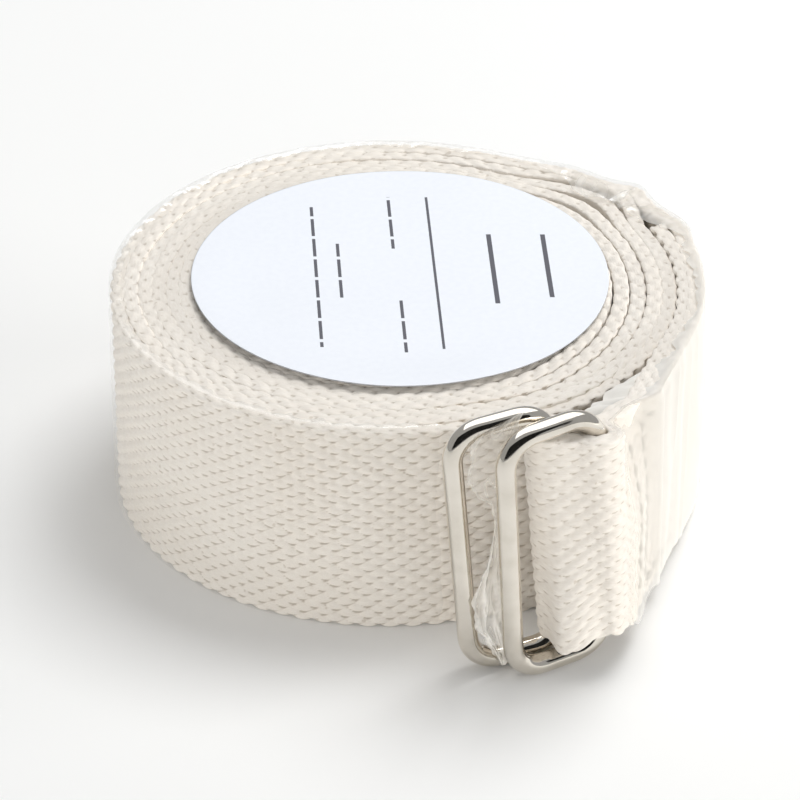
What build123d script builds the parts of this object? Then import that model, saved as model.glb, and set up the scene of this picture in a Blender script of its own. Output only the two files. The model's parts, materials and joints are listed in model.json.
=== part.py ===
from build123d import *
import os
from math import acos, atan2, cos, degrees, hypot, radians, sin, tan

# A cotton stretching strap, rolled up and standing on its edge, in millimetres.
# While it is built, +Z is the roll's axis and the origin is on that axis at the floor.
# Angles round the roll start at -Y, the front, and grow towards +X.
# Every node is moved at the end, so that the origin is the bottom centre of the whole object.

# Webbing
WIDTH = 38.0
THICKNESS = 2.15
PLY_GAP = 0.15
PITCH = THICKNESS + PLY_GAP
STRAP_LENGTH = 3000.0
ROLL_RADIUS = 45.2  # centreline of the outer turn, where it lands on the roll
ARC_STEP = 30.0  # degrees in one arc of the winding

# The outer turn round the right side, where it lies over the folded-back end
OVER_RADIUS = 51.2
TAIL_RADIUS = OVER_RADIUS - PITCH
OVER_END_ANGLE = 97.0
TAIL_END_ANGLE = 112.0
OVER_FLAT = 10.4  # straight run past the side, up to the first corner
OUTER_CORNER = (44.2, 31.9)
OUTER_CORNER_RADII = [9.0, 3.2]
CORNER_REACH = hypot(*OUTER_CORNER)
LANDING_ANGLE = degrees(atan2(OUTER_CORNER[0], -OUTER_CORNER[1]) + acos(ROLL_RADIUS / CORNER_REACH))

# How far the turns stand off a tight winding: first at the side, then at the outer corner
SIDE_SLACK = [3.1, 3.05, 1.9, 1.6, 1.3, 1.0, 0.7, 0.4]
CORNER_SLACK = [3.2, 2.0, 0.8, 0.5, 0.3, 0.2, 0.1, 0.0]
SIDE_RISE = (12.0, 45.0)
SIDE_FALL = (108.0, 152.0)
CORNER_RISE = (112.0, 130.0)
CORNER_FALL = (128.0, 154.0)

# Wire rings
WIRE = 3.3
RING_WIDTH = 16.2  # between the centrelines of the two long bars
RING_HEIGHT = 44.3
RING_CORNER = 5.2
OUTER_RING = {"centre": (26.4, -55.9), "heading": 27.9, "lean": 3.2}
INNER_RING = {"centre": (19.2, -54.3), "heading": 19.6, "lean": 4.8}

# The sewn loop that holds the rings
BAR_ROOM = 1.5  # clear space round each bar
LOOP_BEND = WIRE / 2 + BAR_ROOM + THICKNESS / 2
PINCH = 9.0  # from the outer ring's bar to where the two plies meet
RAMP_START = -10.0  # the loop rises over the rings' lower legs from this Y
RAMP_RISE = 4.9
RAMP_LENGTH = 42.0

# Sewing thread
STITCH = 2.6
STITCH_PITCH = 3.4
THREAD = 0.7
THREAD_PROUD = 0.2
ROW_OFFSETS = (10.0, 13.5, 30.0)  # from the outer ring's bar, along the straight part
ROW_MARGIN = 4.0
END_MARGIN = 5.0

# Paper label
LABEL_RADIUS = 34.5
LABEL_CENTRE = (2.2, 1.4)
LABEL_THICKNESS = 0.3

# Shrink film
FILM = 0.15
FILM_GAP = 0.3
FILM_TOP = 0.3
FILM_END_ANGLE = 366.0
FLAP_THICKNESS = 0.3

SHORTEST_RUN = 0.01


def polar(radius, angle):
    """The point at a radius and an angle round the roll."""
    return Vector(radius * sin(radians(angle)), -radius * cos(radians(angle)))


def ease(value, start, end):
    """A smooth step from 0 at start to 1 at end."""
    share = min(1.0, max(0.0, (value - start) / (end - start)))
    return share * share * (3 - 2 * share)


def winding_radius(angle):
    """The centreline's radius in the roll. Each full turn inwards adds 360 to the angle."""
    radius = ROLL_RADIUS - PITCH * (angle - LANDING_ANGLE) / 360
    turn = int(angle // 360) - 1
    if 0 <= turn < len(SIDE_SLACK):
        place = angle % 360
        side = ease(place, *SIDE_RISE) - ease(place, *SIDE_FALL)
        corner = ease(place, *CORNER_RISE) - ease(place, *CORNER_FALL)
        radius += SIDE_SLACK[turn] * side + CORNER_SLACK[turn] * corner
    return radius


def rounded(points, radii):
    """Straight runs joined by tangent arcs, each as (start, middle, end). A run has no middle."""
    pieces = []
    start = Vector(*points[0])
    for before, corner, after, radius in zip(points, points[1:], points[2:], radii):
        corner = Vector(*corner)
        back = (Vector(*before) - corner).normalized()
        ahead = (Vector(*after) - corner).normalized()
        half = radians(back.get_angle(ahead)) / 2
        leave = corner + back * (radius / tan(half))
        join = corner + ahead * (radius / tan(half))
        middle = corner + (back + ahead).normalized() * (radius / sin(half) - radius)
        if (leave - start).length > SHORTEST_RUN:
            pieces.append((start, None, leave))
            start = leave
        pieces.append((start, middle, join))
        start = join
    pieces.append((start, None, Vector(*points[-1])))
    return pieces


def arc_round_roll(radius, start, end):
    """One arc about the roll's axis."""
    return (polar(radius, start), polar(radius, (start + end) / 2), polar(radius, end))


def edge_of(piece):
    start, middle, end = piece
    return Line(start, end) if middle is None else ThreePointArc(start, middle, end)


def length_of(pieces):
    return sum(edge_of(piece).length for piece in pieces)


def strip(pieces, left, right):
    """A face along the pieces, from left of the line to right of it, seen from above."""
    edges = [edge_of(piece) for piece in pieces]
    headings = [edges[0] % 0]
    headings += [((a % 1) + (b % 0)).normalized() for a, b in zip(edges, edges[1:])]
    headings.append(edges[-1] % 1)

    def shifted(point, heading, offset):
        return point + Vector(-heading.Y, heading.X) * offset

    sides = []
    for offset in (left, -right):
        side = []
        for index, piece in enumerate(pieces):
            start = shifted(piece[0], headings[index], offset)
            end = shifted(piece[2], headings[index + 1], offset)
            middle = piece[1]
            if middle is not None:
                middle = shifted(middle, edges[index] % 0.5, offset)
            side.append(edge_of((start, middle, end)))
        sides.append(side)
    caps = [Line(sides[0][0] @ 0, sides[1][0] @ 0), Line(sides[0][-1] @ 1, sides[1][-1] @ 1)]
    return make_face(sides[0] + sides[1] + caps)


def ring_frame(ring):
    """The ring's plane. Its X runs from the free bar to the sewn-in bar and its Y up along the bars."""
    heading = radians(ring["heading"])
    lean = radians(ring["lean"])
    level = Vector(cos(heading), sin(heading), 0)
    across = level * cos(lean) + Vector(0, 0, sin(lean))
    along = Vector(0, 0, cos(lean)) - level * sin(lean)
    inset_width = RING_WIDTH / 2 - RING_CORNER
    inset_height = RING_HEIGHT / 2 - RING_CORNER
    reach = inset_width * sin(lean) + inset_height * cos(lean) + RING_CORNER + WIRE / 2
    return Plane(origin=(*ring["centre"], reach), x_dir=across, z_dir=across.cross(along))


def ring_bar(ring):
    """The middle of the sewn-in bar, which the ring swings about, and the bar's direction."""
    frame = ring_frame(ring)
    return frame.origin + frame.x_dir * (RING_WIDTH / 2), frame.y_dir


def bar_at(ring, height):
    """Where the sewn-in bar crosses a level, seen from above."""
    middle, along = ring_bar(ring)
    point = middle + along * ((height - middle.Z) / along.Z)
    return Vector(point.X, point.Y)


def wire_ring(ring):
    """A rectangle of round wire with rounded corners."""
    frame = ring_frame(ring)
    line = frame * RectangleRounded(RING_WIDTH, RING_HEIGHT, RING_CORNER).wire()
    section = Plane(origin=line @ 0, z_dir=line % 0) * Circle(WIRE / 2)
    return sweep(section, path=line)


def loop_pieces():
    """The strap from its cut end, along the folded-back tail, round both bars and up to the roll.
    Returns the pieces, the sewn part's outer run, and the unit vectors along it and out of it."""
    outer_bar = bar_at(OUTER_RING, WIDTH / 2)
    inner_bar = bar_at(INNER_RING, WIDTH + RAMP_RISE)
    bar_angle = atan2(outer_bar.X, -outer_bar.Y)
    leave_angle = bar_angle + acos((OVER_RADIUS - LOOP_BEND) / outer_bar.length)
    along = Vector(cos(leave_angle), sin(leave_angle))
    out = Vector(along.Y, -along.X)
    left = (inner_bar - outer_bar).normalized()
    down = Vector(-left.Y, left.X)
    nose = inner_bar + left * LOOP_BEND
    corner_shift = LOOP_BEND * (1 - down.dot(out)) / left.dot(out)
    leave_angle = degrees(leave_angle)
    tail = arc_round_roll(TAIL_RADIUS, TAIL_END_ANGLE, leave_angle)
    loop = rounded(
        [
            tail[2],
            outer_bar + along * PINCH + out * (LOOP_BEND - PITCH),
            outer_bar - down * LOOP_BEND,
            nose - down * LOOP_BEND,
            nose + down * LOOP_BEND,
            outer_bar + down * LOOP_BEND + left * corner_shift,
            polar(OVER_RADIUS, leave_angle),
        ],
        [6.0, 4.0, LOOP_BEND, LOOP_BEND, LOOP_BEND],
    )
    over = arc_round_roll(OVER_RADIUS, leave_angle, OVER_END_ANGLE)
    return [tail, *loop, over], loop[-1], along, out


def outer_turn_pieces():
    """The outer turn from the side, past the tail's cut end, down to where it lands on the roll."""
    side = polar(OVER_RADIUS, OVER_END_ANGLE)
    heading = radians(OVER_END_ANGLE)
    first_corner = side + Vector(cos(heading), sin(heading)) * OVER_FLAT
    landing = polar(ROLL_RADIUS, LANDING_ANGLE)
    return rounded([side, first_corner, OUTER_CORNER, landing], OUTER_CORNER_RADII)


def winding_pieces(length, start=LANDING_ANGLE, end=None):
    """The roll's turns from the start angle inwards, until the length is used up or the end angle."""
    pieces = []
    angle = start
    while length > 0 and (end is None or angle < end):
        step = ARC_STEP if end is None else min(ARC_STEP, end - angle)
        arc = length_of([winding_arc(angle, step)])
        step *= min(1.0, length / arc)
        pieces.append(winding_arc(angle, step))
        length -= arc
        angle += step
    return pieces


def winding_arc(angle, step):
    return tuple(polar(winding_radius(a), a) for a in (angle, angle + step / 2, angle + step))


def ramp(y):
    """How far the strap's lower edge stands off the floor at a Y, in the sewn end."""
    return max(0.0, RAMP_START - y) * RAMP_RISE / RAMP_LENGTH


def ramped(face, low, high):
    """A face raised into a wall that climbs the ramp, from low to high above it."""
    near = RAMP_START - 2 * RAMP_LENGTH
    far = OVER_RADIUS + THICKNESS
    profile = [
        (far, low),
        (RAMP_START, low),
        (near, ramp(near) + low),
        (near, ramp(near) + high),
        (RAMP_START, high),
        (far, high),
    ]
    slab = extrude(Plane.YZ * make_face(Polyline(*profile, close=True)), 3 * OVER_RADIUS, both=True)
    return extrude(face, 2 * WIDTH) & slab


def stitch(place, heading, upright):
    """One stitch lying in the strap's face: a short length of thread with round ends."""
    face = Plane(origin=place, x_dir=heading, z_dir=heading.cross(upright))
    return extrude(face * SlotOverall(STITCH, THREAD), THREAD / 2, both=True)


def loop_stitches(along, out):
    """Three rows across the strap and two along its edges, on the outer face of the sewn end."""
    face = bar_at(OUTER_RING, WIDTH / 2) + out * (LOOP_BEND + THICKNESS / 2 + THREAD_PROUD - THREAD / 2)
    upright = Vector(0, 0, 1)
    stitches = []
    for offset in ROW_OFFSETS:
        foot = face + along * offset
        count = int((WIDTH - 2 * ROW_MARGIN) // STITCH_PITCH)
        for index in range(count + 1):
            height = ramp(foot.Y) + WIDTH / 2 + (index - count / 2) * STITCH_PITCH
            stitches.append(stitch(foot + upright * height, upright, along))
    box_length = ROW_OFFSETS[2] - ROW_OFFSETS[1]
    count = int(box_length // STITCH_PITCH)
    for edge in (ROW_MARGIN - THREAD, WIDTH - ROW_MARGIN + THREAD):
        for index in range(count):
            foot = face + along * (ROW_OFFSETS[1] + box_length * (index + 0.5) / count)
            stitches.append(stitch(foot + upright * (ramp(foot.Y) + edge), along, upright))
    return Compound(stitches)


def free_end_stitches(last_arc):
    """One row of zigzag stitches near the strap's inner end, on the face towards the hollow core."""
    edge = edge_of(last_arc)
    share = 1 - END_MARGIN / edge.length
    heading = edge % share
    inward = Vector(-heading.Y, heading.X)
    foot = (edge @ share) + inward * (THICKNESS / 2 + THREAD_PROUD - THREAD / 2)
    count = int((WIDTH - 2 * ROW_MARGIN) // STITCH)
    stitches = []
    for index in range(count + 1):
        slope = 0.5 if index % 2 else -0.5
        upright = (Vector(0, 0, 1) + heading * slope).normalized()
        height = WIDTH / 2 + (index - count / 2) * STITCH
        stitches.append(stitch(foot + Vector(0, 0, height), upright, upright.cross(inward)))
    return Compound(stitches)


def shrink_film(sewn_run, outer_turn):
    """The clear film round the wall, from beside the outer ring right round to the rings' free bars."""
    near = THICKNESS / 2 + FILM_GAP
    far = near + FILM
    over = arc_round_roll(OVER_RADIUS, degrees(atan2(sewn_run[2].X, -sewn_run[2].Y)), OVER_END_ANGLE)
    low_part = ramped(strip([sewn_run, over], -near, far), FILM_TOP, WIDTH + FILM_TOP)
    turns = outer_turn + winding_pieces(STRAP_LENGTH, end=FILM_END_ANGLE)
    high_part = extrude(strip(turns, -near, far), WIDTH)
    return low_part + Pos(0, 0, FILM_TOP) * high_part


def torn_film():
    """A loose tongue of film in front of the inner ring's free bar and behind the outer ring's."""
    frame = ring_frame(INNER_RING).offset(WIRE / 2 + FILM_GAP)
    bar = -RING_WIDTH / 2
    outline = [
        (bar - 1.4, -7.5),
        (bar + 3.6, -4.0),
        (bar + 5.6, -11.0),
        (bar + 6.4, -19.5),
        (bar + 3.8, -18.0),
        (bar - 0.5, -14.0),
    ]
    return extrude(frame * make_face(Polyline(*outline, close=True)), FLAP_THICKNESS)


loop, sewn_run, along, out = loop_pieces()
outer_turn = outer_turn_pieces()
winding = winding_pieces(STRAP_LENGTH - length_of(loop) - length_of(outer_turn))
half = THICKNESS / 2

# The strap is one piece. Its sewn end and its roll are two nodes, which meet face to face in the outer turn.
nodes = {
    "webbing_loop": ramped(strip(loop, half, half), 0, WIDTH),
    "webbing_roll": extrude(strip(outer_turn + winding, half, half), WIDTH),
    "outer_ring": wire_ring(OUTER_RING),
    "inner_ring": wire_ring(INNER_RING),
    "loop_stitching": loop_stitches(along, out),
    "free_end_stitching": free_end_stitches(winding[-1]),
    "label": Pos(*LABEL_CENTRE, WIDTH) * extrude(Circle(LABEL_RADIUS), LABEL_THICKNESS),
    "shrink_film": shrink_film(sewn_run, outer_turn),
    "torn_film": torn_film(),
}

box = Compound([solid for shape in nodes.values() for solid in shape.solids()]).bounding_box()
shift = Pos(-box.center().X, -box.center().Y, -box.min.Z)
os.makedirs("parts", exist_ok=True)
for name, shape in nodes.items():
    export_step(shift * shape, f"parts/{name}.step")

origin = shift.position
print("size", [round(v, 2) for v in box.size])
print("strap", round(length_of(loop + outer_turn + winding), 1), "inner end", winding[-1][2])
print("roll axis at", round(origin.X, 2), round(origin.Y, 2), round(origin.Z, 2))
for name, ring in (("outer_ring", OUTER_RING), ("inner_ring", INNER_RING)):
    middle, bar = ring_bar(ring)
    place = middle + origin
    print(name, "bar at", [round(v, 3) for v in place], "along", [round(v, 5) for v in bar])
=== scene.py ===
import json
from cmath import phase
from math import acos, cos, hypot, pi, radians, sin, tan

import bpy
import numpy as np
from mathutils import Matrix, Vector


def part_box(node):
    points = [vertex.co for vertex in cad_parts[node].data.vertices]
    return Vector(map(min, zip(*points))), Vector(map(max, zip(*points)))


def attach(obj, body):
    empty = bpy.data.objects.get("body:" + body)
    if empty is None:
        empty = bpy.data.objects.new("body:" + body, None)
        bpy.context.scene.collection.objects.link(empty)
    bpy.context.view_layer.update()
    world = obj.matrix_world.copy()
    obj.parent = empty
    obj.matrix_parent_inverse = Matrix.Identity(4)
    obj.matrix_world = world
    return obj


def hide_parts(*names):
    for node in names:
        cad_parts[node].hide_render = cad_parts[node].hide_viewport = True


# A cotton stretching strap, rolled up on its edge, in metres in the CAD frame.
# Plan positions are complex numbers, x + iy, from the roll's axis. Angles round the roll
# start at -Y, the front, and grow towards +X.

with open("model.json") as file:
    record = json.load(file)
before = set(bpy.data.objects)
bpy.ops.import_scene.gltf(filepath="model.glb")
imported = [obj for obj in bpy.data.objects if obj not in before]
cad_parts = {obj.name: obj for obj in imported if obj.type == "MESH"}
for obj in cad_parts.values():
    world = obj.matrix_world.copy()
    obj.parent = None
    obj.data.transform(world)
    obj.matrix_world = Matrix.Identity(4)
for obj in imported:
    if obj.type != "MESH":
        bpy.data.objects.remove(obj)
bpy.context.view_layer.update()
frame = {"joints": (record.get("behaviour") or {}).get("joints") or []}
MM = 0.001

# ---------------------------------------------------------------- sizes shared with the CAD model
WIDTH = 38 * MM
THICKNESS = 2.15 * MM
PITCH = 2.3 * MM
STRAP_LENGTH = 3.0
ROLL_RADIUS = 45.2 * MM
OVER_RADIUS = 51.2 * MM
TAIL_RADIUS = OVER_RADIUS - PITCH
OVER_END_ANGLE = 97
TAIL_END_ANGLE = 112
OVER_FLAT = 10.4 * MM
OUTER_CORNER = complex(44.2, 31.9) * MM
OUTER_CORNER_RADII = [9.0 * MM, 3.2 * MM]
LANDING_ANGLE = np.degrees(phase(1j * OUTER_CORNER) + acos(ROLL_RADIUS / abs(OUTER_CORNER)))
SIDE_RISE, SIDE_FALL = (12, 45), (108, 152)
CORNER_RISE, CORNER_FALL = (112, 130), (128, 154)
WIRE = 3.3 * MM
RING_WIDTH = 16.2 * MM
RING_HEIGHT = 44.3 * MM
RING_CORNER = 5.2 * MM
RAMP_START = -10 * MM
RAMP_LENGTH = 42 * MM
ROW_OFFSETS = [10.0 * MM, 13.5 * MM, 30.0 * MM]
ROW_MARGIN = 4 * MM
END_MARGIN = 5 * MM
LABEL_RADIUS = 34.5 * MM
LABEL_CENTRE = complex(2.2, 1.4) * MM

# ---------------------------------------------------------------- where the cloth leaves its stiff CAD solid
# How far the turns stand off a tight winding, from the outermost in: at the side, then at the far corner.
SIDE_SLACK = np.array([3.1, 3.05, 2.75, 2.35, 1.8, 1.3, 0.9, 0.45, 0]) * MM
CORNER_SLACK = np.array([5.1, 3.3, 1.8, 1.0, 0.6, 0.35, 0.15, 0, 0]) * MM
BAR_ROOM = 0.6 * MM  # round each bar
LOOP_BEND = WIRE / 2 + BAR_ROOM + THICKNESS / 2
PINCH = 6.5 * MM  # from the outer ring's bar to where the two plies meet
RAMP_RISE = 4.0 * MM  # how far the loop climbs over the rings' lower legs
FOOT_SWING = complex(-0.8, -4.0) * MM  # how far the loop's foot swings out in front of the bars
BEND_LIFT = 2.7 * MM  # how far the outer ring's rounded corner lifts the foot of the bend
TOP_STRETCH = 1.3 * MM  # how far the loop's upper edge stands up against the rings' top legs
POCKET_CLOSE = 3.2 * MM  # how far the outer run's upper edge leans over the pocket behind the bar
CORNER_LEAN = 2.2 * MM  # how far the outer turn's upper edge leans in at its far corner
SEWN_FADE = 0.5, 0.6  # the sewn end's own lean fades out here, in shares of the finely meshed part

label_low, label_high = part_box("label")
ROLL_AXIS = complex(label_low.x + label_high.x, label_low.y + label_high.y) / 2 - LABEL_CENTRE
JOINTS = {joint["child"]: joint for joint in frame["joints"]}

# ---------------------------------------------------------------- the weave
STATION = 0.45 * MM  # along the strap, from one mesh row to the next
EDGE_ROUND = 0.6 * MM
YARN_ROWS = 68  # warp yarns round the whole section
YARN_WIDTH = 1.13 * MM
FLOAT_PITCH = 3.55 * MM
WEAVE_DEPTH = 0.62 * MM  # from the top of a float to the deepest pit
FLOAT_SHARE = 0.5  # half a float's length over the pitch
YARN_SHARE = 0.85  # half a float's width over the yarns' pitch
LOOP_TAUT = 0.35  # how much of the weave's depth is lost where the loop is pulled round the bars
LENS = 1.8  # 1 makes the floats diamonds, and 2 makes them ovals
FACE_POINTS, BACK_POINTS, EDGE_POINTS = 150, 20, 11  # round the section, where its face shows
HIDDEN_POINTS = 7  # on each face of the inner turns, of which only the edges show


# ================================================================ small helpers
def ease(value, start, end):
    """A smooth step from 0 at start to 1 at end."""
    share = np.clip((np.asarray(value, float) - start) / (end - start), 0, 1)
    return share * share * (3 - 2 * share)


def noise(x, y, seed):
    """Smooth noise from -1 to 1, with features one unit across. Each seed gives another pattern."""
    x, y = np.broadcast_arrays(np.asarray(x, float), np.asarray(y, float))
    left, low = np.floor(x), np.floor(y)
    right_share, up_share = ease(x - left, 0, 1), ease(y - low, 0, 1)

    def corner(i, j):
        value = np.sin((left + i) * 127.1 + (low + j) * 311.7 + seed * 74.7) * 43758.5453
        return 2 * (value - np.floor(value)) - 1

    bottom = corner(0, 0) * (1 - right_share) + corner(1, 0) * right_share
    top = corner(0, 1) * (1 - right_share) + corner(1, 1) * right_share
    return bottom * (1 - up_share) + top * up_share


def polar(radius, angle):
    """The plan position at a radius and an angle round the roll."""
    return -1j * radius * np.exp(1j * np.radians(angle))


def in_frame(plan, height):
    """Points of the CAD frame from plan positions and heights."""
    plan, height = np.broadcast_arrays(plan, height)
    return np.stack([plan.real + ROLL_AXIS.real, plan.imag + ROLL_AXIS.imag, height], axis=-1)


def grid(points, uv, closed=True, caps=False, values=None):
    """A surface from rows of points, for make_mesh. A closed one joins its last column to its first."""
    rows, columns = points.shape[:2]
    across = np.arange(columns if closed else columns - 1)
    first = (np.arange(rows - 1)[:, None] * columns + across).ravel()
    second = (np.arange(rows - 1)[:, None] * columns + (across + 1) % columns).ravel()
    quads = np.stack([first, second, second + columns, first + columns], axis=1)
    uv_columns = uv.shape[1]
    corner = (np.arange(rows - 1)[:, None] * uv_columns + across).ravel()
    corners = np.stack([corner, corner + 1, corner + 1 + uv_columns, corner + uv_columns], axis=1)
    ends = [np.arange(columns)[::-1], np.arange(columns) + (rows - 1) * columns] if caps else []
    return {
        "points": points.reshape(-1, 3),
        "quads": quads,
        "uv": uv.reshape(-1, 2)[corners.ravel()],
        "ends": ends,
        "values": np.zeros(rows * columns) if values is None else values.ravel(),
    }


def make_mesh(name, surfaces, material):
    """One smooth mesh object from several surfaces. Its "mask" attribute holds their values: the painted
    shade between the floats on cotton, the grey line of painted shade at the cut edge on paper, and the haze
    on film, which over the rim also carries painted highlights."""
    points = np.concatenate([s["points"] for s in surfaces])
    starts = np.cumsum([0] + [len(s["points"]) for s in surfaces])
    faces = [s["quads"] + start for s, start in zip(surfaces, starts)]
    corners = [f.ravel() for f in faces]
    sizes = [np.full(len(f), 4) for f in faces]
    uv = [s["uv"] for s in surfaces]
    for surface, start in zip(surfaces, starts):
        for end in surface["ends"]:
            corners.append(end + start)
            sizes.append(np.array([len(end)]))
            uv.append(np.zeros((len(end), 2)))
    corners, sizes, uv = np.concatenate(corners), np.concatenate(sizes), np.concatenate(uv)
    mesh = bpy.data.meshes.new(name)
    mesh.vertices.add(len(points))
    mesh.vertices.foreach_set("co", points.astype(np.float32).ravel())
    mesh.loops.add(len(corners))
    mesh.loops.foreach_set("vertex_index", corners.astype(np.int32))
    mesh.polygons.add(len(sizes))
    mesh.polygons.foreach_set("loop_start", np.concatenate([[0], np.cumsum(sizes)[:-1]]).astype(np.int32))
    mesh.update(calc_edges=True)
    mesh.polygons.foreach_set("use_smooth", np.ones(len(sizes), bool))
    mesh.uv_layers.new(name="flat").data.foreach_set("uv", uv.astype(np.float32).ravel())
    mask = mesh.attributes.new("mask", "FLOAT", "POINT")
    mask.data.foreach_set("value", np.concatenate([s["values"] for s in surfaces]).astype(np.float32))
    mesh.validate()
    piece = bpy.data.objects.new(name, mesh)
    bpy.context.scene.collection.objects.link(piece)
    mesh.materials.append(material)
    return piece


OFF_LINE = [0.3, 0.2, 0.1]  # keeps the cross product from vanishing on a straight tube


def tube(line, radius, sides, closed=False):
    """A round tube along points of the CAD frame. Its radius may change along it."""
    ahead = np.roll(line, -1, axis=0) - np.roll(line, 1, axis=0)
    if not closed:
        ahead[0], ahead[-1] = line[1] - line[0], line[-1] - line[-2]
    ahead /= np.linalg.norm(ahead, axis=1)[:, None]
    around = np.linspace(0, 2 * pi, sides, endpoint=False)
    if closed:
        flat = np.cross(line[len(line) // 3] - line[0], line[2 * len(line) // 3] - line[0])
    else:
        flat = np.cross(ahead[0], ahead[len(line) // 2] + OFF_LINE)
    side = np.cross(ahead, flat)
    side /= np.linalg.norm(side, axis=1)[:, None]
    other = np.cross(ahead, side)
    radius = np.broadcast_to(radius, len(line))[:, None, None]
    ring = side[:, None] * np.cos(around)[:, None] + other[:, None] * np.sin(around)[:, None]
    points = line[:, None] + ring * radius
    if closed:
        points = np.concatenate([points, points[:1]])
        line = np.concatenate([line, line[:1]])
    travelled = np.concatenate([[0], np.cumsum(np.linalg.norm(np.diff(line, axis=0), axis=1))])
    uv = np.stack(np.broadcast_arrays(travelled[:, None], np.linspace(0, 1, sides + 1) * 0.01), axis=-1)
    return grid(points, uv, caps=not closed)


# ================================================================ the strap's line in plan
MOST_TURNS = 19  # more than the strap's length makes
WINDING_STEP = 0.5  # degrees
NOSE_WITHIN = 0.15  # the loop's nose lies within this length of the cut tail
FINE_SWEEP = 250  # how far round the inner winding the fine mesh goes on, in degrees


def rounded(points, radii):
    """Points along straight runs that are joined by tangent arcs."""
    line = [points[0]]
    for before, corner, after, radius in zip(points, points[1:], points[2:], radii):
        back = (before - corner) / abs(before - corner)
        ahead = (after - corner) / abs(after - corner)
        half = abs(phase(ahead / back)) / 2
        centre = corner + (back + ahead) / abs(back + ahead) * radius / sin(half)
        leave = corner + back * radius / tan(half)
        sweep = np.copysign(pi - 2 * half, (-back.conjugate() * ahead).imag)
        line += list(centre + (leave - centre) * np.exp(1j * sweep * np.linspace(0, 1, 24)))
    return np.array(line + [points[-1]])


def winding_radius(angle):
    """The centreline's radius in the roll. Each full turn inwards adds 360 to the angle."""
    radius = ROLL_RADIUS - PITCH * (angle - LANDING_ANGLE) / 360
    turn = np.minimum((angle // 360).astype(int) - 1, len(SIDE_SLACK) - 1)
    place = angle % 360
    side = ease(place, *SIDE_RISE) - ease(place, *SIDE_FALL)
    corner = ease(place, *CORNER_RISE) - ease(place, *CORNER_FALL)
    slack = SIDE_SLACK[turn] * side + CORNER_SLACK[turn] * corner
    return radius + np.where(turn >= 0, slack, 0)


def bar_at(ring, height):
    """Where a ring's sewn-in bar crosses a level, or several, in plan."""
    joint = JOINTS[ring]
    middle, along = joint["pos_m"], joint["axis"]
    climb = (height - middle[2]) / along[2]
    return middle[0] + along[0] * climb + 1j * (middle[1] + along[1] * climb) - ROLL_AXIS


def even(line, step):
    """The same line with points at even steps, and its small kinks smoothed."""
    keep = np.concatenate([[True], np.abs(np.diff(line)) > 1e-7])
    line = line[keep]
    travelled = np.concatenate([[0], np.cumsum(np.abs(np.diff(line)))])
    places = np.linspace(0, travelled[-1], int(round(travelled[-1] / step)) + 1)
    made = np.interp(places, travelled, line.real) + 1j * np.interp(places, travelled, line.imag)
    for _ in range(6):
        made[1:-1] = (made[:-2] + 2 * made[1:-1] + made[2:]) / 4
    return made


def strap_line():
    """The strap's centreline in plan from the tail's cut end to its inner end, at even stations, and its
    landmarks: the two bars, the directions along and out of the strap beside them, and the station where
    the finely meshed part ends."""
    outer_bar = complex(bar_at("outer_ring", WIDTH / 2))
    inner_bar = complex(bar_at("inner_ring", WIDTH + RAMP_RISE))
    bar_angle = phase(1j * outer_bar)
    leave_angle = bar_angle + acos((OVER_RADIUS - LOOP_BEND) / abs(outer_bar))
    along = complex(cos(leave_angle), sin(leave_angle))
    out = -1j * along
    left = (inner_bar - outer_bar) / abs(inner_bar - outer_bar)
    down = 1j * left
    nose = inner_bar + left * LOOP_BEND
    corner_shift = LOOP_BEND * (1 - (down * out.conjugate()).real) / (left * out.conjugate()).real
    leave_angle = np.degrees(leave_angle)
    tail = polar(TAIL_RADIUS, np.linspace(TAIL_END_ANGLE, leave_angle, 80))
    loop = rounded(
        [
            tail[-1],
            outer_bar + along * PINCH + out * (LOOP_BEND - PITCH),
            outer_bar - down * LOOP_BEND,
            nose - down * LOOP_BEND,
            nose + down * LOOP_BEND,
            outer_bar + down * LOOP_BEND + left * corner_shift,
            polar(OVER_RADIUS, leave_angle),
        ],
        [6 * MM, 4 * MM, LOOP_BEND, LOOP_BEND, LOOP_BEND],
    )
    over = polar(OVER_RADIUS, np.linspace(leave_angle, OVER_END_ANGLE, 60))
    side = over[-1]
    first_corner = side + OVER_FLAT * np.exp(1j * radians(OVER_END_ANGLE))
    landing = polar(ROLL_RADIUS, LANDING_ANGLE)
    turn = rounded([side, first_corner, OUTER_CORNER, landing], OUTER_CORNER_RADII)
    first_part = np.concatenate([tail, loop, over, turn])
    angles = np.arange(LANDING_ANGLE, LANDING_ANGLE + 360 * MOST_TURNS, WINDING_STEP)
    winding = polar(winding_radius(angles), angles)
    spent = np.sum(np.abs(np.diff(first_part)))
    travelled = np.cumsum(np.abs(np.diff(winding, prepend=winding[0])))
    winding = winding[travelled <= STRAP_LENGTH - spent]
    line = even(np.concatenate([first_part, winding]), STATION)
    landmarks = {
        "outer_bar": outer_bar,
        "inner_bar": inner_bar,
        "along": along,
        "out": out,
        "outer_end": int(spent / STATION) + int(2 * pi * ROLL_RADIUS * FINE_SWEEP / 360 / STATION),
    }
    return line, landmarks


LINE, MARKS = strap_line()
HEADING = np.gradient(LINE)
HEADING /= np.abs(HEADING)
OUTWARD = -1j * HEADING
ALONG = np.arange(len(LINE)) * STATION


def station_near(point):
    """The station that is nearest to a plan position, from the loop's nose to the end of the outer turn."""
    right = MARKS["outer_bar"] - MARKS["inner_bar"]
    sewn_end = LINE[: int(NOSE_WITHIN / STATION)]
    nose = int(np.argmin((sewn_end * right.conjugate()).real))
    return nose + int(np.argmin(np.abs(LINE[nose : MARKS["outer_end"]] - point)))


BEND = station_near(MARKS["outer_bar"] + MARKS["out"] * LOOP_BEND)


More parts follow.
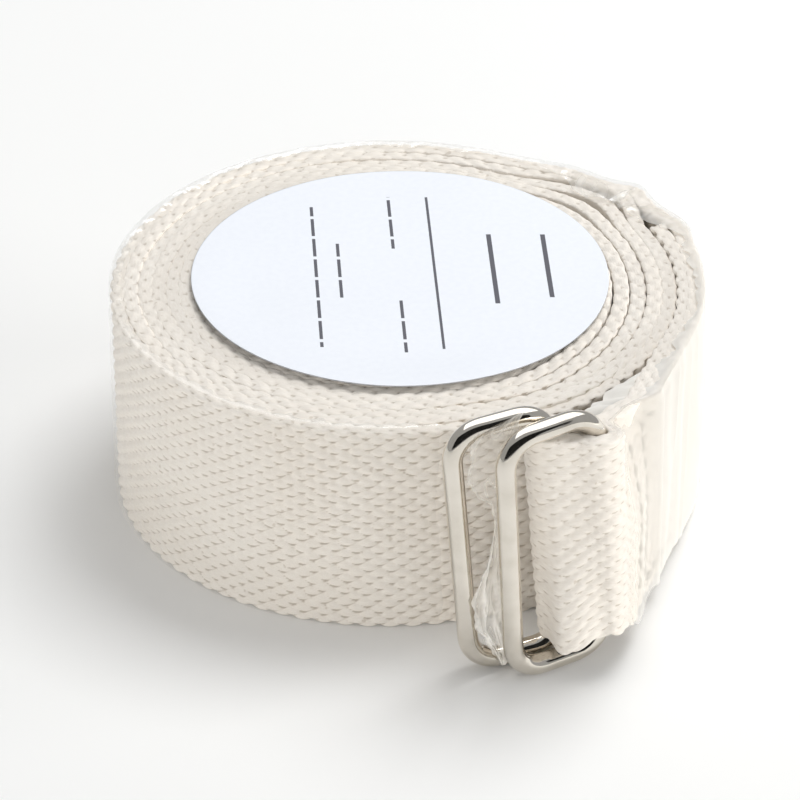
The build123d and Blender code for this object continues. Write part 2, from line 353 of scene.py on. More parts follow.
# ================================================================ the webbing
def weave(along, across):
    """How high the woven surface stands, from 0 in the pits to 1 on top of the warp floats, and how close
    it is under the middle of a float. along is a length and across is a count of yarns. Every yarn dips
    under the weft between its floats, half a pitch after its neighbours do."""
    row = np.floor(across)
    height = np.zeros(np.broadcast(along, across).shape)
    under = np.zeros_like(height)
    for step in (-1, 0, 1):
        yarn = (row + step) % YARN_ROWS
        shift = 0.5 * (yarn % 2) + 0.06 * noise(along / (9 * MM), yarn * 3.7, 5)
        shift = shift + 0.07 * noise(yarn * 1.37, along / (40 * MM), 15)
        ahead = along / FLOAT_PITCH + shift
        number = np.floor(ahead)
        plump = 1 + 0.10 * noise(number * 1.7, yarn * 2.3, 9)
        on_float = (ahead - number - 0.5) / FLOAT_SHARE
        lean = 0.12 * noise(number * 0.9, yarn * 1.9, 11)
        aside = (across - row - step - 0.5 - lean * on_float) / (YARN_SHARE * plump)
        away = np.clip(np.abs(on_float) ** LENS + np.abs(aside) ** LENS, 0, 1) ** (1 / LENS)
        height = np.maximum(height, plump * (1 - away**2.1))
        middle = np.clip(1.2 - (on_float / 0.7) ** 2, 0, 1)
        # under places a painted shadow line beneath the middle of each float
        under = np.maximum(under, middle * np.exp(-(((aside + 0.98) / 0.24) ** 2)))
    return np.clip(height, 0, 1.1), under


def section(face_count, back_count, edge_count):
    """The strap's cross-section: for each point its side, from -1 in to 1 out, its height, the
    direction it faces and its place round the section, counted in yarns."""
    straight = WIDTH - 2 * EDGE_ROUND
    turn = np.linspace(0, pi, edge_count + 2)[1:-1]
    up = np.linspace(0, straight, face_count)
    down = np.linspace(straight, 0, back_count)
    box = 0.6  # under 1 squares the rounded edges
    edge_side = np.copysign(np.abs(np.cos(turn)) ** box, np.cos(turn))
    edge_rise = np.sin(turn) ** box * EDGE_ROUND
    side = np.concatenate([np.ones(face_count), edge_side, -np.ones(back_count), -edge_side])
    height = np.concatenate([up, straight + edge_rise, down, -edge_rise]) + EDGE_ROUND
    face_out = np.concatenate([np.ones(face_count), np.cos(turn), -np.ones(back_count), -np.cos(turn)])
    face_up = np.concatenate([np.zeros(face_count), np.sin(turn), np.zeros(back_count), -np.sin(turn)])
    steps = np.hypot(np.diff(side, append=side[0]) * THICKNESS / 2, np.diff(height, append=height[0]))
    round_it = np.concatenate([[0], np.cumsum(steps)])
    return side, height, face_out, face_up, round_it / round_it[-1] * YARN_ROWS


def loop_shift(station, height):
    """How the strap departs from an upright, level band: its shift in plan and its rise, at heights from its
    foot. The loop leans with the two bars, its lower edge climbs over the rings' lower legs, and the outer
    turn's upper edge leans in behind the loop and at its far corner."""
    line, outward = LINE[station][:, None], OUTWARD[station][:, None]
    top_share = height / WIDTH
    foot_share = ease(-top_share, -0.75, 0)
    fade_start, fade_end = (MARKS["outer_end"] * share for share in SEWN_FADE)
    first_part = (station < fade_end)[:, None]
    sewn = ease(-station, -fade_end, -fade_start)[:, None]
    lift = np.where(first_part, np.clip(RAMP_START - line.imag, 0, None) * RAMP_RISE / RAMP_LENGTH, 0)

    middle = (MARKS["outer_bar"] + MARKS["inner_bar"]) / 2
    off_outer_bar = np.abs(line - MARKS["outer_bar"])
    at_bars = sewn * (1 - ease(np.abs(line - middle), 6 * MM, 17 * MM))
    at_bend = at_bars * (1 - ease(off_outer_bar, 3 * MM, 9 * MM))
    front = ease((outward * MARKS["out"].conjugate()).real, -0.5, 0.5) * ease(off_outer_bar, 0, 7 * MM)
    rise = lift + at_bars * TOP_STRETCH * ease(top_share, 0.4, 1.0) + at_bend * BEND_LIFT * foot_share
    shift = at_bars * front * FOOT_SWING * foot_share

    for ring, level, bar in (
        ("inner_ring", WIDTH + RAMP_RISE, MARKS["inner_bar"]),
        ("outer_ring", WIDTH / 2, MARKS["outer_bar"]),
    ):
        near = sewn * (1 - ease(np.abs(line - bar), 5 * MM, 13 * MM))
        if ring == "outer_ring":
            near = near * (1 - ease(-np.abs(line - MARKS["inner_bar"]), -9 * MM, -5 * MM))
        shift = shift + near * (bar_at(ring, height + rise) - bar_at(ring, level))

    past_bend = ((station - BEND) * STATION)[:, None]
    pocket = ease(past_bend, 0, 4 * MM) * (1 - ease(past_bend, 9 * MM, 17 * MM))
    corner = first_part * (1 - ease(np.abs(line - OUTER_CORNER), 5 * MM, 15 * MM))
    lean = POCKET_CLOSE * pocket + CORNER_LEAN * corner
    return shift - outward * lean * ease(top_share, 0.45, 1.0), rise


def band(first, last, face_count, back_count, edge_count):
    """The strap from one station to another as one closed surface with its weave."""
    station = np.arange(first, last)
    side, height, face_out, face_up, yarn = section(face_count, back_count, edge_count)
    along = ALONG[station][:, None]
    line, outward = LINE[station][:, None], OUTWARD[station][:, None]
    woven, under = weave(along, yarn[None, :-1])
    slack = 1 + 0.25 * noise(along / (14 * MM), yarn[None, :-1] / 6, 3)
    in_roll = ease(station, MARKS["outer_end"] - 2, MARKS["outer_end"] + 40)[:, None]
    near_top = ease(height[None], WIDTH - 4 * MM, WIDTH - EDGE_ROUND)
    face_depth = 1 - 0.75 * near_top * np.maximum(in_roll, side[None] < 0)
    taut = 1 - LOOP_TAUT * (1 - ease(np.abs(line - MARKS["outer_bar"]), 8 * MM, 20 * MM))
    sink = WEAVE_DEPTH * slack * (1 - woven) * taut

    # The turns of the roll don't lie dead level or quite round.
    waves = 0.35 * noise(along / 0.045, 1.5, 21) + 0.2 * noise(along / 0.012, 3.5, 4) - 0.4
    uneven = ease(along, 0.2, 0.3) * waves * MM
    flare = 0.09 * MM * in_roll + (0.2 + 0.35 * (side[None] < 0) * (1 - in_roll)) * MM * near_top
    bow = 0.12 * MM * noise(along / 0.03, height[None] / (18 * MM), 8)

    # The stitched rows pull the cloth in.
    pucker = np.zeros_like(along)
    for offset in ROW_OFFSETS:
        foot = MARKS["outer_bar"] + MARKS["along"] * offset + MARKS["out"] * LOOP_BEND
        distance = (station - station_near(foot))[:, None] * STATION
        pucker = pucker + np.exp(-((distance / (0.9 * MM)) ** 2))
    pucker = pucker * 0.35 * MM * (0.8 + 0.2 * np.cos(2 * pi * height[None] / (3.4 * MM)))

    outer_side = np.clip(face_out, 0, 1)[None]
    push = side * (THICKNESS / 2 + flare) - face_out * sink * face_depth - outer_side * pucker + bow
    shift, lift = loop_shift(station, height[None])
    rise = height + lift - face_up * sink * 0.6
    rise = rise + uneven * ease(height[None] / WIDTH, 0.2, 1.0)
    points = in_frame(line + outward * push + shift, rise)

    # Painted shade: light comes from above, so the colour is darkened in the pits and valleys between the
    # floats, on the slopes that face down and in a painted shadow line under each float's middle, less where
    # the loop is taut.
    lower_slope = np.clip(np.roll(woven, -1, axis=1) - woven, 0, 0.5) * np.clip(face_out, 0, 1)[None]
    shade = np.clip(0.7 * (1 - woven) + 1.5 * lower_slope + 0.25 * under, 0, 1) * (0.55 + 0.45 * taut)
    uv = np.stack(np.broadcast_arrays(along, yarn[None] * YARN_WIDTH), axis=-1)
    return grid(points, uv, caps=True, values=shade)


def webbing(material):
    """The whole strap. The inner turns, of which only the edges show, have fewer points."""
    sewn_end = band(0, MARKS["outer_end"] + 1, FACE_POINTS, BACK_POINTS, EDGE_POINTS)
    inner_turns = band(MARKS["outer_end"], len(LINE), HIDDEN_POINTS, HIDDEN_POINTS, EDGE_POINTS)
    piece = make_mesh("webbing", [sewn_end, inner_turns], material)
    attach(piece, "strap")
    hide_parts("webbing_loop", "webbing_roll")


# ================================================================ the rings
def ring_plane(ring):
    """The middle of a ring's sewn-in bar, and the directions across to it, along it and out of the ring."""
    joint = JOINTS[ring]
    up = np.array(joint["axis"])
    level = -np.array([up[0], up[1], 0]) / hypot(up[0], up[1])
    across = np.cross(np.cross(up, level), up)
    across /= np.linalg.norm(across)
    return np.array(joint["pos_m"]), across, up, np.cross(across, up)


def ring_line(ring, count=260):
    """The centreline of a wire ring, a rectangle with rounded corners about its two long bars."""
    bar, across, along, _ = ring_plane(ring)
    middle = bar - across * RING_WIDTH / 2
    right, top = RING_WIDTH / 2, RING_HEIGHT / 2
    outline = [(right, 0), (right, top), (-right, top), (-right, -top), (right, -top), (right, 0)]
    line = rounded([complex(x, y) for x, y in outline], [RING_CORNER] * 4)
    travelled = np.concatenate([[0], np.cumsum(np.abs(np.diff(line)))])
    places = np.linspace(0, travelled[-1], count, endpoint=False)
    x, y = np.interp(places, travelled, line.real), np.interp(places, travelled, line.imag)
    for _ in range(3):
        x = (np.roll(x, 1) + 2 * x + np.roll(x, -1)) / 4
        y = (np.roll(y, 1) + 2 * y + np.roll(y, -1)) / 4
    return middle + x[:, None] * across + y[:, None] * along


def wire_ring(ring, material):
    piece = make_mesh(ring + "_wire", [tube(ring_line(ring), WIRE / 2, 32, closed=True)], material)
    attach(piece, ring)
    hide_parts(ring)


# ================================================================ the label
LABEL_THICKNESS = 0.3 * MM
LABEL_LIFT = 0.5 * MM  # how far its front left edge curls up
RULE_SLOPE = -0.056  # how far the printed lines lean: across over up
# Each printed line's place across the label, its lower and upper ends, and its width, in mm from the
# roll's axis. They say nothing. Those after the third are cut into lengths like words.
PRINT = [
    (7.95, -21.5, 26.9, 0.45),
    (26.6, -5.5, 14.5, 0.8),
    (17.6, -7.5, 14.5, 0.8),
    (0.6, 10, 27, 0.55),
    (2.8, -22.5, -6.5, 0.55),
    (-7.8, -6, 11.5, 0.55),
    (-11.6, -21, 23.5, 0.55),
]
PLAIN_LINES = 3
WORD = 6.5 * MM
WORD_GAP = 0.14  # as a share of a word


def label_height(plan):
    """The underside of the label over the roll: nearly flat, with its front left edge curling up."""
    away = np.abs(plan - LABEL_CENTRE) / LABEL_RADIUS
    towards = np.cos(np.angle(plan - LABEL_CENTRE) - radians(238))
    curl = LABEL_LIFT * ease(away, 0.72, 1.0) * ease(towards, 0.1, 1.0)
    wave = 0.12 * MM * noise(plan.real / (16 * MM), plan.imag / (16 * MM), 31)
    return WIDTH + 0.12 * MM + curl + wave


def label(material):
    """A round paper label. Its mask marks the cut edge, which the paper's material greys as a line of
    painted shade.
    """
    rings = np.concatenate([np.linspace(0.02, 0.97, 26), [0.985, 0.995, 1.0]])
    spokes = np.exp(1j * np.linspace(0, 2 * pi, 180, endpoint=False))
    plan = LABEL_CENTRE + (rings * LABEL_RADIUS)[:, None] * spokes[None]
    low = label_height(plan)
    top = in_frame(plan, low + LABEL_THICKNESS * 0.6)
    under = in_frame(plan, low)[::-1]
    points = np.concatenate([top, under])
    both = np.concatenate([plan, plan[::-1]])
    both = np.concatenate([both, both[:, :1]], axis=1) - LABEL_CENTRE
    uv = np.stack([both.real, both.imag], axis=-1)
    edge = np.zeros(2 * len(rings))
    edge[len(rings) - 1 : len(rings) + 1] = 1
    values = np.broadcast_to(edge[:, None], points.shape[:2])
    piece = make_mesh("paper_label", [grid(points, uv, caps=True, values=values)], material)
    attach(piece, "strap")
    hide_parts("label")


# ================================================================ the shrink film
FILM_OFF = 0.22 * MM  # off the woven surface
FILM_TOP = 38.25 * MM
FILM_FOOT = 0.45 * MM
FILM_START = -1.5 * MM  # from the bend at the outer ring
FILM_END_ANGLE = 371  # degrees round the roll from the front, so a full turn and a little more
# The upright folds beside the rings: each one's place, height and width in mm.
FOLDS = [(5.5, 0.2, 0.9), (10, 0.28, 2.0), (18.5, 0.4, 0.8), (24, 0.2, 1.6), (33, 0.3, 1.0)]
CURL = 0.06  # how far the levels run on past 1, over the rim


def film_shape(from_ring, along, levels):
    """How far the film stands off the webbing and how milky it is, over the wall from edge to edge."""
    near = 1 - ease(from_ring, 50 * MM, 90 * MM)
    folds = np.zeros(np.broadcast(along, levels).shape)
    for place, height, width in FOLDS:
        middle = (place + 1.1 * noise(levels * 3, 0.5, int(place * 10))) * MM
        strength = 0.65 + 0.35 * noise(levels * 4, 1.5, int(place * 10))
        folds = folds + height * strength * np.exp(-(((from_ring - middle) / (width * MM)) ** 2))
    slant = along + levels * 5 * MM * noise(along / (30 * MM), 0.5, 41)
    creases = (1 - np.abs(noise(slant / (6 * MM), levels * 0.9, 42))) ** 5 * 0.3
    soft = 0.25 * noise(along / (11 * MM), levels * 2.2, 43) + 0.10 * noise(along / (3 * MM), levels * 9, 44)
    off = (folds + creases * (0.4 + near) + soft * 0.35 + 0.1) * MM
    haze = 0.04 + 0.62 * near * ease(from_ring, -4 * MM, 30 * MM) + 0.4 * folds * near + 0.12 * creases
    haze = haze + 0.12 * np.clip(noise(along / (13 * MM), levels * 1.7, 49), 0, 1)
    return off, haze * ease(from_ring, -1 * MM, 4 * MM)


def shrink_film(material):
    """Clear film round the wall, from the bend at the outer ring right round to the rings' free bars.
    It is drawn tight into upright folds beside the rings, and its top edge curls in over the rim."""
    first = BEND + int(FILM_START / STATION)
    place = np.degrees(np.unwrap(np.angle(1j * LINE[first:])))
    last = first + int(np.argmax(place - place[0] + place[0] % 360 > FILM_END_ANGLE))
    station = np.arange(first, last)
    levels = np.concatenate([np.linspace(0, 1, 64), 1 + np.linspace(0.2, 1, 6) * CURL])[None]
    along = ALONG[station][:, None]
    from_ring, to_end = along - along[0], along[-1] - along
    off, haze = film_shape(from_ring, along, levels)

    # Over the rim it reaches further in where it bridges a gap: at the far corner, and behind the loop.
    over = np.clip(levels - 1, 0, None) / CURL
    at_corner = 1 - ease(np.abs(LINE[station] - OUTER_CORNER)[:, None], 9 * MM, 20 * MM)
    at_loop = ease(from_ring, 1 * MM, 8 * MM) * (1 - ease(from_ring, 20 * MM, 32 * MM))
    ragged = 1 + 0.5 * noise(along / (2.5 * MM), 0.5, 45) + 0.3 * noise(along / (0.9 * MM), 2.5, 46)
    reach = (1.7 * ragged + (4.5 * at_corner + 7.0 * at_loop) * (0.85 + 0.15 * ragged)) * MM
    out = THICKNESS / 2 + FILM_OFF + off * (1 - 0.75 * ease(levels, 0.93, 1.0)) - over * reach
    rise = FILM_FOOT + np.clip(levels, 0, 1) * (FILM_TOP - FILM_FOOT)
    wrinkle = noise(along / (2.2 * MM), levels * 60, 51)
    bridge = np.maximum(at_corner, at_loop)
    rise = rise + (0.3 * np.sin(np.clip(over * pi, 0, pi)) + over * bridge * (0.8 * wrinkle - 0.5)) * MM
    shift, lift = loop_shift(station, np.clip(levels, 0, 1) * WIDTH)
    rise = rise + lift * (1 - over * at_loop)
    # Painted highlights: the sparkle spots and the extra haze where the film bridges the gaps put milky
    # white on the rim in place of glints on the curled film.
    sparkle = np.clip(noise(along / (1.6 * MM), levels * 30, 50), 0, 1)
    over_gap = 0.12 * at_corner + 0.5 * at_loop * (0.9 + 0.5 * wrinkle)
    haze = haze + np.clip(over * 3, 0, 1) * (0.04 + 0.18 * sparkle + over_gap)
    torn = (0.9 * noise(levels * 9, 0.5, 47) + 0.4 * noise(levels * 31, 1.5, 48)) * MM
    ends = (1 - ease(from_ring, 0, 9 * MM)) - (1 - ease(to_end, 0, 9 * MM))
    plan = LINE[station][:, None] + OUTWARD[station][:, None] * out + HEADING[station][:, None] * torn * ends
    plan = plan + shift
    uv = np.stack(np.broadcast_arrays(along, levels * WIDTH), axis=-1)
    surface = grid(in_frame(plan, rise), uv, closed=False, values=np.clip(haze, 0, 1))
    piece = make_mesh("film_round_wall", [surface], material)
    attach(piece, "strap")
    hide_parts("shrink_film")


# The tongue of torn film: its middle line from the bottom up and its half-width there, all in mm, measured
# across from the inner ring's free bar and up from its lower leg.
TONGUE = [
    (4.9, -0.3, 0.5),
    (4.4, 3.0, 1.2),
    (3.4, 7.5, 2.4),
    (3.3, 12.0, 2.9),
    (3.9, 17.0, 2.1),
    (4.9, 22.0, 0.9),
    (5.8, 27.0, 0.4),
    (5.6, 31.0, 0.5),
    (4.2, 35.3, 2.2),
    (5.0, 38.5, 3.5),
    (6.6, 42.0, 4.2),
    (7.4, 45.3, 4.4),
]
TONGUE_OFF = 2.0 * MM  # in front of the ring's middle plane


def torn_film(material):
    """The film's torn end. It is taut behind the rings' top legs and crumpled low down between the rings."""
    middle, across, up, out = ring_plane("inner_ring")
    corner = middle - across * RING_WIDTH - up * RING_HEIGHT / 2
    path = np.array(TONGUE) * MM
    stops = np.linspace(0, 1, len(path))
    v = np.linspace(0, 1, 170)[:, None]
    u = np.linspace(-1, 1, 44)[None]
    x, y, spread = (np.interp(v, stops, column) for column in path.T)
    crumpled = 1 - ease(v, 0.42, 0.62)
    edge, side = np.abs(u) ** 5, np.sign(u)
    rough = edge * side * (0.35 * noise(v * 26, side + 0.5, 61) + 0.25 * noise(v * 70, side + 0.5, 62))
    lean = 0.10 + 0.25 * (1 - crumpled)
    x = x + u * spread + rough * np.minimum(spread, 1.5 * MM)
    y = y + u * spread * lean
    streaks = 1 - 2 * np.abs(noise(u * 2.4 + v * 2, v * 7, 63))
    fine = 1 - 2 * np.abs(noise(u * 5.2 - v * 6, v * 22, 64))
    taut = 1 - 2 * np.abs(noise(u * 1.1 - v * 9, v * 3 + u * 0.8, 65))
    depth = crumpled * (0.75 * streaks + 0.4 * fine) + (1 - crumpled) * 0.14 * taut
    z = TONGUE_OFF + depth * MM * np.clip(spread / (1.2 * MM), 0.2, 1)
    points = corner + x[..., None] * across + y[..., None] * up + z[..., None] * out
    uv = np.stack(np.broadcast_arrays(x, y), axis=-1)
    cloud = crumpled * (0.42 + 0.3 * streaks + 0.22 * fine)
    cloud = cloud + (1 - crumpled) * (0.16 + 0.25 * np.clip(taut, 0, 1) ** 6)
    cloud = np.clip(cloud + 0.25 * edge, 0.03, 0.95)
    surface = grid(points, uv, closed=False, values=np.broadcast_to(cloud, x.shape))
    piece = make_mesh("film_tongue", [surface], material)
    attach(piece, "inner_ring")
    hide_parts("torn_film")


# ================================================================ the sewing thread
STITCH_PITCH = 3.4 * MM
THREAD = 0.7 * MM


def stitch_line(foot, heading, proud, length):
    """The path of one stitch: out of the cloth, along it, and back in."""
    share = np.linspace(-1, 1, 9)
    return foot + np.outer(share * length / 2, heading) + np.outer((1 - share**4) * 1.0 - 0.55, proud)


def loop_stitches(material):
    """The rows across the sewn end and along its edges, each stitch a short twisted length of thread."""
    stitches = []
    swell = THREAD / 2 * np.array([0.6, 0.9, 1, 1, 1, 1, 1, 0.9, 0.6])

    def sew(offset, height, upright):
        station = BEND + int(offset / STATION)
        out, along = OUTWARD[station], HEADING[station]
        plan = LINE[station] + out * (THICKNESS / 2 - 0.22 * MM - (0.35 * MM if upright else 0.1 * MM))
        out = np.array([out.real, out.imag, 0])
        heading = np.array([0, 0, 1.0]) if upright else np.array([along.real, along.imag, 0])
        shift, rise = loop_shift(np.array([station]), np.array([[height]]))
        foot = in_frame(plan + shift[0, 0], height + float(rise[0, 0]))
        stitches.append(tube(stitch_line(foot, heading, out * 0.42 * MM, STITCH_PITCH * 0.8), swell, 10))

    count = int((WIDTH - 2 * ROW_MARGIN) // STITCH_PITCH)
    for offset in ROW_OFFSETS:
        for index in range(count + 1):
            sew(offset, WIDTH / 2 + (index - count / 2) * STITCH_PITCH, True)
    box = ROW_OFFSETS[2] - ROW_OFFSETS[1]
    count = int(box // STITCH_PITCH)
    for height in (ROW_MARGIN - THREAD, WIDTH - ROW_MARGIN + THREAD):
        for index in range(count):
            sew(ROW_OFFSETS[1] + box * (index + 0.5) / count, height, False)
    piece = make_mesh("loop_thread", stitches, material)
    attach(piece, "strap")
    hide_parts("loop_stitching")


def free_end_stitches(material):
    """A zigzag row near the strap's inner end, on the face towards the hollow core."""
    station = len(LINE) - 1 - int(END_MARGIN / STATION)
    inward = -OUTWARD[station]
    foot_plan = LINE[station] + inward * THICKNESS / 2
    into = np.array([inward.real, inward.imag, 0])
    along = np.array([HEADING[station].real, HEADING[station].imag, 0])
    step = 2.6 * MM
    count = int((WIDTH - 2 * ROW_MARGIN) // step)
    stitches = []
    for index in range(count + 1):
        heading = np.array([0, 0, 1.0]) + along * (0.5 if index % 2 else -0.5)
        heading /= np.linalg.norm(heading)
        foot = in_frame(foot_plan, WIDTH / 2 + (index - count / 2) * step) - into * 0.25 * MM
        stitches.append(tube(stitch_line(foot, heading, into * 0.42 * MM, step), THREAD / 2, 10))
    piece = make_mesh("free_end_thread", stitches, material)
    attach(piece, "strap")
    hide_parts("free_end_stitching")


# ================================================================ materials
class Nodes:
    """A small builder for a material's node tree."""

    def __init__(self, name):
        self.material = bpy.data.materials.new(name)
        self.material.use_nodes = True
        self.tree = self.material.node_tree
        self.shader = self.tree.nodes["Principled BSDF"]

    def add(self, kind, inputs=None, **settings):
        node = self.tree.nodes.new("ShaderNode" + kind)
        for key, value in settings.items():
            setattr(node, key, value)
        for key, value in (inputs or {}).items():
            self.feed(node.inputs[key], value)
        return node

    def feed(self, socket, value):
        if isinstance(value, bpy.types.NodeSocket):
            self.tree.links.new(value, socket)
        else:
            socket.default_value = value

    def math(self, operation, a, b=0.0):
        return self.add("Math", {0: a, 1: b}, operation=operation).outputs[0]

    def mix(self, share, a, b):
        node = self.add("Mix", data_type="RGBA")
        for socket, value in zip((node.inputs[0], node.inputs[6], node.inputs[7]), (share, a, b)):
            self.feed(socket, value)
        return node.outputs[2]

    def noise(self, vector, scale, detail=2.0, roughness=0.5):
        inputs = {"Vector": vector, "Scale": scale, "Detail": detail, "Roughness": roughness}
        return self.add("TexNoise", inputs).outputs["Fac"]

    def band_of(self, value, low, high):
        inputs = {"Value": value, "From Min": low, "From Max": high}
        return self.add("MapRange", inputs, interpolation_type="SMOOTHSTEP").outputs["Result"]

    def bump(self, height, distance, strength=1.0):
        inputs = {"Height": height, "Distance": distance, "Strength": strength}
        return self.add("Bump", inputs).outputs["Normal"]

    def set(self, **values):
        for key, value in values.items():
            self.feed(self.shader.inputs[key.replace("_", " ")], value)


def cotton_material():
    nodes = Nodes("cotton_webbing")
    uv = nodes.add("UVMap", uv_map="flat").outputs["UV"]
    shade = nodes.add("Attribute", attribute_name="mask").outputs["Fac"]
    stretched = nodes.add("Mapping", {"Vector": uv, "Scale": (900, 4500, 1)}).outputs["Vector"]
    fibres = nodes.noise(stretched, 1.0, 4.0, 0.65)
    blotches = nodes.noise(uv, 60.0, 2.0)
    specks = nodes.band_of(nodes.noise(uv, 700.0, 1.0), 0.70, 0.76)
    base = nodes.mix(nodes.band_of(blotches, 0.3, 0.7), (0.90, 0.845, 0.77, 1), (0.93, 0.885, 0.82, 1))
    light = nodes.mix(nodes.band_of(fibres, 0.25, 0.75), (0.84, 0.78, 0.70, 1), base)
    # painted shade: darker, browner cotton where the mask is high, in the pits and under the floats
    shaded = nodes.mix(nodes.band_of(shade, 0.52, 1.0), light, (0.50, 0.43, 0.35, 1))
    colour = nodes.mix(nodes.math("MULTIPLY", specks, 0.35), shaded, (0.42, 0.33, 0.23, 1))
    nodes.set(Base_Color=colour, Roughness=0.9, Normal=nodes.bump(fibres, 0.00009))
    nodes.set(Specular_IOR_Level=0.25, Sheen_Weight=0.25, Sheen_Roughness=0.5)
    return nodes.material


def thread_material():
    nodes = Nodes("cotton_thread")
    uv = nodes.add("UVMap", uv_map="flat").outputs["UV"]
    inputs = {"Vector": uv, "Scale": 900.0, "Distortion": 1.0}
    twist = nodes.add("TexWave", inputs, bands_direction="DIAGONAL")
    colour = nodes.mix(twist.outputs["Fac"], (0.70, 0.63, 0.52, 1), (0.90, 0.86, 0.78, 1))
    nodes.set(Base_Color=colour, Roughness=0.8, Normal=nodes.bump(twist.outputs["Fac"], 0.0001))
    nodes.set(Sheen_Weight=0.2)
    return nodes.material


def paper_material():
    """Cool white paper, with plain printed lines and a grey line of painted shade round the cut edge."""
    nodes = Nodes("white_paper")
    uv = nodes.add("UVMap", uv_map="flat").outputs["UV"]
    axes = nodes.add("SeparateXYZ", {0: uv}).outputs
    x = nodes.math("ADD", axes["X"], LABEL_CENTRE.real)
    y = nodes.math("ADD", axes["Y"], LABEL_CENTRE.imag)
    words = nodes.math("GREATER_THAN", nodes.math("FRACT", nodes.math("DIVIDE", y, WORD)), WORD_GAP)
    ink = 0.0
    for number, (middle, low, high, width) in enumerate(PRINT):
        along = nodes.math("SUBTRACT", y, (low + high) / 2 * MM)
        leaning = nodes.math("MULTIPLY", along, RULE_SLOPE)
        beside = nodes.math("SUBTRACT", nodes.math("SUBTRACT", x, middle * MM), leaning)
        near = nodes.math("LESS_THAN", nodes.math("ABSOLUTE", beside), width * MM / 2)
        within = nodes.math("LESS_THAN", nodes.math("ABSOLUTE", along), (high - low) * MM / 2)
        row = nodes.math("MULTIPLY", near, within)
        if number >= PLAIN_LINES:
            row = nodes.math("MULTIPLY", row, words)
        ink = nodes.math("MAXIMUM", ink, row)
    fibre = nodes.band_of(nodes.noise(uv, 900.0, 3.0), 0.3, 0.7)
    paper = nodes.mix(fibre, (0.86, 0.89, 0.95, 1), (0.88, 0.91, 0.965, 1))
    printed = nodes.mix(ink, paper, (0.10, 0.10, 0.12, 1))
    edge = nodes.add("Attribute", attribute_name="mask").outputs["Fac"]
    # painted shade: the cut edge is greyed, a dark line round the label where it sits on the roll
    colour = nodes.mix(nodes.band_of(edge, 0.6, 1.0), printed, (0.42, 0.43, 0.45, 1))
    grain = nodes.noise(uv, 2500.0, 2.0)
    nodes.set(Base_Color=colour, Roughness=0.42, Normal=nodes.bump(grain, 0.00002, 0.6))
    nodes.set(Specular_IOR_Level=0.3)
    return nodes.material


def film_material():
    """Thin clear film. It shows what is behind it, less so where its haze attribute is high. Over the rim
    that haze also carries painted highlights.
    """
    nodes = Nodes("clear_film")
    tree = nodes.tree
    haze = nodes.add("Attribute", attribute_name="mask").outputs["Fac"]
    clear = nodes.add("BsdfTransparent", {"Color": (0.985, 0.985, 0.985, 1)}).outputs[0]
    milky = nodes.add("BsdfDiffuse", {"Color": (0.985, 0.96, 0.91, 1), "Roughness": 1.0}).outputs[0]
    shine = nodes.add("BsdfGlossy", {"Color": (0.95, 0.97, 1.0, 1), "Roughness": 0.16}).outputs[0]
    facing = nodes.add("Fresnel", {"IOR": 1.3}).outputs[0]
    gloss = nodes.math("MINIMUM", facing, 0.08)
    body = nodes.add("MixShader", {0: haze, 1: clear, 2: milky}).outputs[0]
    surface = nodes.add("MixShader", {0: gloss, 1: body, 2: shine}).outputs[0]
    tree.links.new(surface, tree.nodes["Material Output"].inputs["Surface"])
    tree.nodes.remove(nodes.shader)
    return nodes.material


def nickel_material():
    nodes = Nodes("nickel_wire")
    place = nodes.add("TexCoord").outputs["Object"]
    smudge = nodes.band_of(nodes.noise(place, 260.0, 3.0), 0.35, 0.8)
    roughness = nodes.math("ADD", nodes.math("MULTIPLY", smudge, 0.07), 0.06)
    colour = nodes.mix(smudge, (0.76, 0.715, 0.645, 1), (0.68, 0.635, 0.56, 1))
    ripple = nodes.noise(place, 120.0, 2.0)
    nodes.set(Base_Color=colour, Metallic=1.0, Roughness=roughness, Normal=nodes.bump(ripple, 0.0002, 0.35))
    return nodes.material


# ================================================================ the studio
CAMERA_PLAN = complex(2.2, -638.6) * MM  # from the roll's axis
CAMERA_HEIGHT = 427.6 * MM
CAMERA_PITCH = 32.89
FOCAL_SHARE = 5.6675  # focal length over the frame's width
SENSOR = 36


def camera():
    data = bpy.data.cameras.new("camera")
    data.sensor_width = SENSOR
    data.lens = SENSOR * FOCAL_SHARE
    data.clip_end = 10
    eye = bpy.data.objects.new("camera", data)
    eye.location = in_frame(CAMERA_PLAN, CAMERA_HEIGHT)
    eye.rotation_euler = (radians(90 - CAMERA_PITCH), 0, 0)
    bpy.context.scene.collection.objects.link(eye)
    bpy.context.scene.camera = eye


def facing_roll(place):
    """The turn that makes a light or a card at a place face the roll."""
    return (Vector((0, 0, 0.02)) - Vector(place)).to_track_quat("-Z", "Y").to_euler()


def rectangle(name, half_wide, half_high, material):
    """A flat rectangle."""
    corners = [(x * half_wide, y * half_high, 0) for x, y in ((-1, -1), (1, -1), (1, 1), (-1, 1))]
    mesh = bpy.data.meshes.new(name)
    mesh.from_pydata(corners, [], [(0, 1, 2, 3)])
    mesh.materials.append(material)
    piece = bpy.data.objects.new(name, mesh)
    bpy.context.scene.collection.objects.link(piece)
    return piece


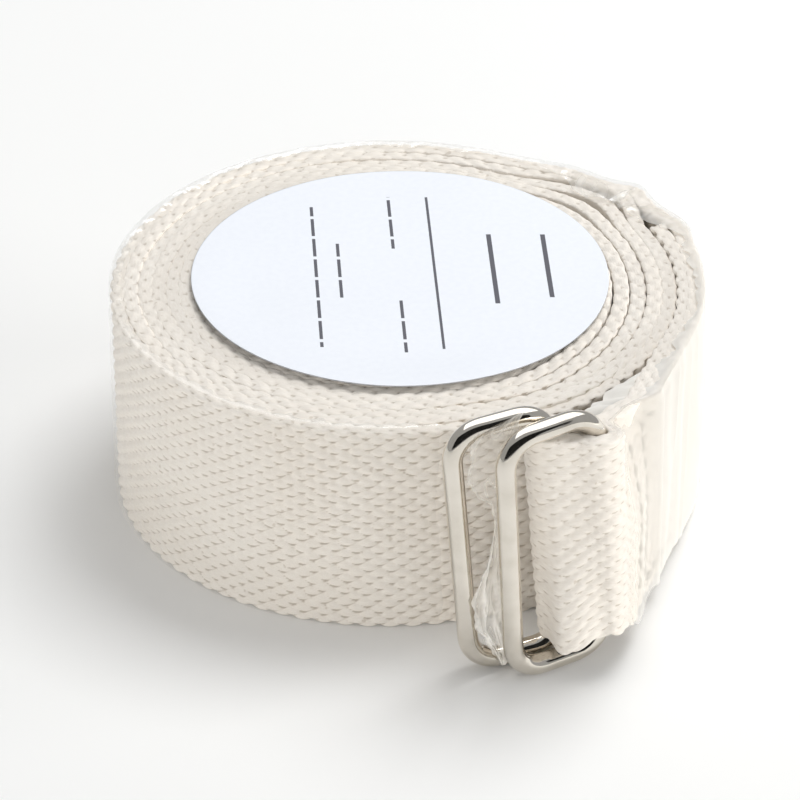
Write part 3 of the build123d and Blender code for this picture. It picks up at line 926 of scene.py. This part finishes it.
def area_light(name, place, size, power, colour=(1, 1, 1)):
    """A soft rectangular light that faces the roll."""
    data = bpy.data.lights.new(name, "AREA")
    data.shape = "RECTANGLE"
    data.size, data.size_y = size
    data.energy = power
    data.color = colour
    lamp = bpy.data.objects.new(name, data)
    lamp.location = place
    lamp.rotation_euler = facing_roll(place)
    bpy.context.scene.collection.objects.link(lamp)
    return lamp


def plain_material(name, colour, roughness=0.9):
    nodes = Nodes(name)
    nodes.set(Base_Color=(*colour, 1), Roughness=roughness, Specular_IOR_Level=0.2)
    return nodes.material


def card(name, place, size, colour):
    """A flat card that only the metal reflects. It faces the roll and doesn't show itself."""
    piece = rectangle(name, size[0] / 2, size[1] / 2, plain_material(name, colour))
    piece.location = place
    piece.rotation_euler = facing_roll(place)
    piece.visible_camera = False
    piece.visible_shadow = False
    piece.visible_diffuse = False


def floor():
    reach = 3.0
    rectangle("floor", reach, reach, plain_material("floor", (0.94, 0.94, 0.93)))


def studio():
    scene = bpy.context.scene
    scene.view_settings.view_transform = "Standard"
    world = bpy.data.worlds.new("studio")
    world.use_nodes = True
    background = world.node_tree.nodes["Background"].inputs
    background["Color"].default_value = (0.97, 0.985, 1.0, 1)
    background["Strength"].default_value = 0.42
    scene.world = world
    area_light("key", (0.27, 0.30, 0.84), (0.5, 0.5), 4.8)
    for name, place, power in (
        ("right_fill", (1.0, -0.12, 0.22), 5.6),
        ("left_fill", (-1.0, -0.15, 0.18), 1.7),
        ("front_fill", (-0.15, -1.0, 0.11), 2.6),
    ):
        lamp = area_light(name, place, (0.6, 0.2), power, (1, 0.98, 0.95))
        lamp.visible_glossy = False
    glint = area_light("glint", (0.05, 0.40, 1.0), (1.7, 1.3), 9.0)
    glint.visible_diffuse = False
    card("dark_behind_camera", (0.0, -0.90, 0.52), (2.2, 0.95), (0.01, 0.01, 0.01))
    floor()
    camera()


# ================================================================ making it
studio()
webbing(cotton_material())
nickel = nickel_material()
for ring in ("outer_ring", "inner_ring"):
    wire_ring(ring, nickel)
thread = thread_material()
loop_stitches(thread)
free_end_stitches(thread)
label(paper_material())
film = film_material()
shrink_film(film)
torn_film(film)
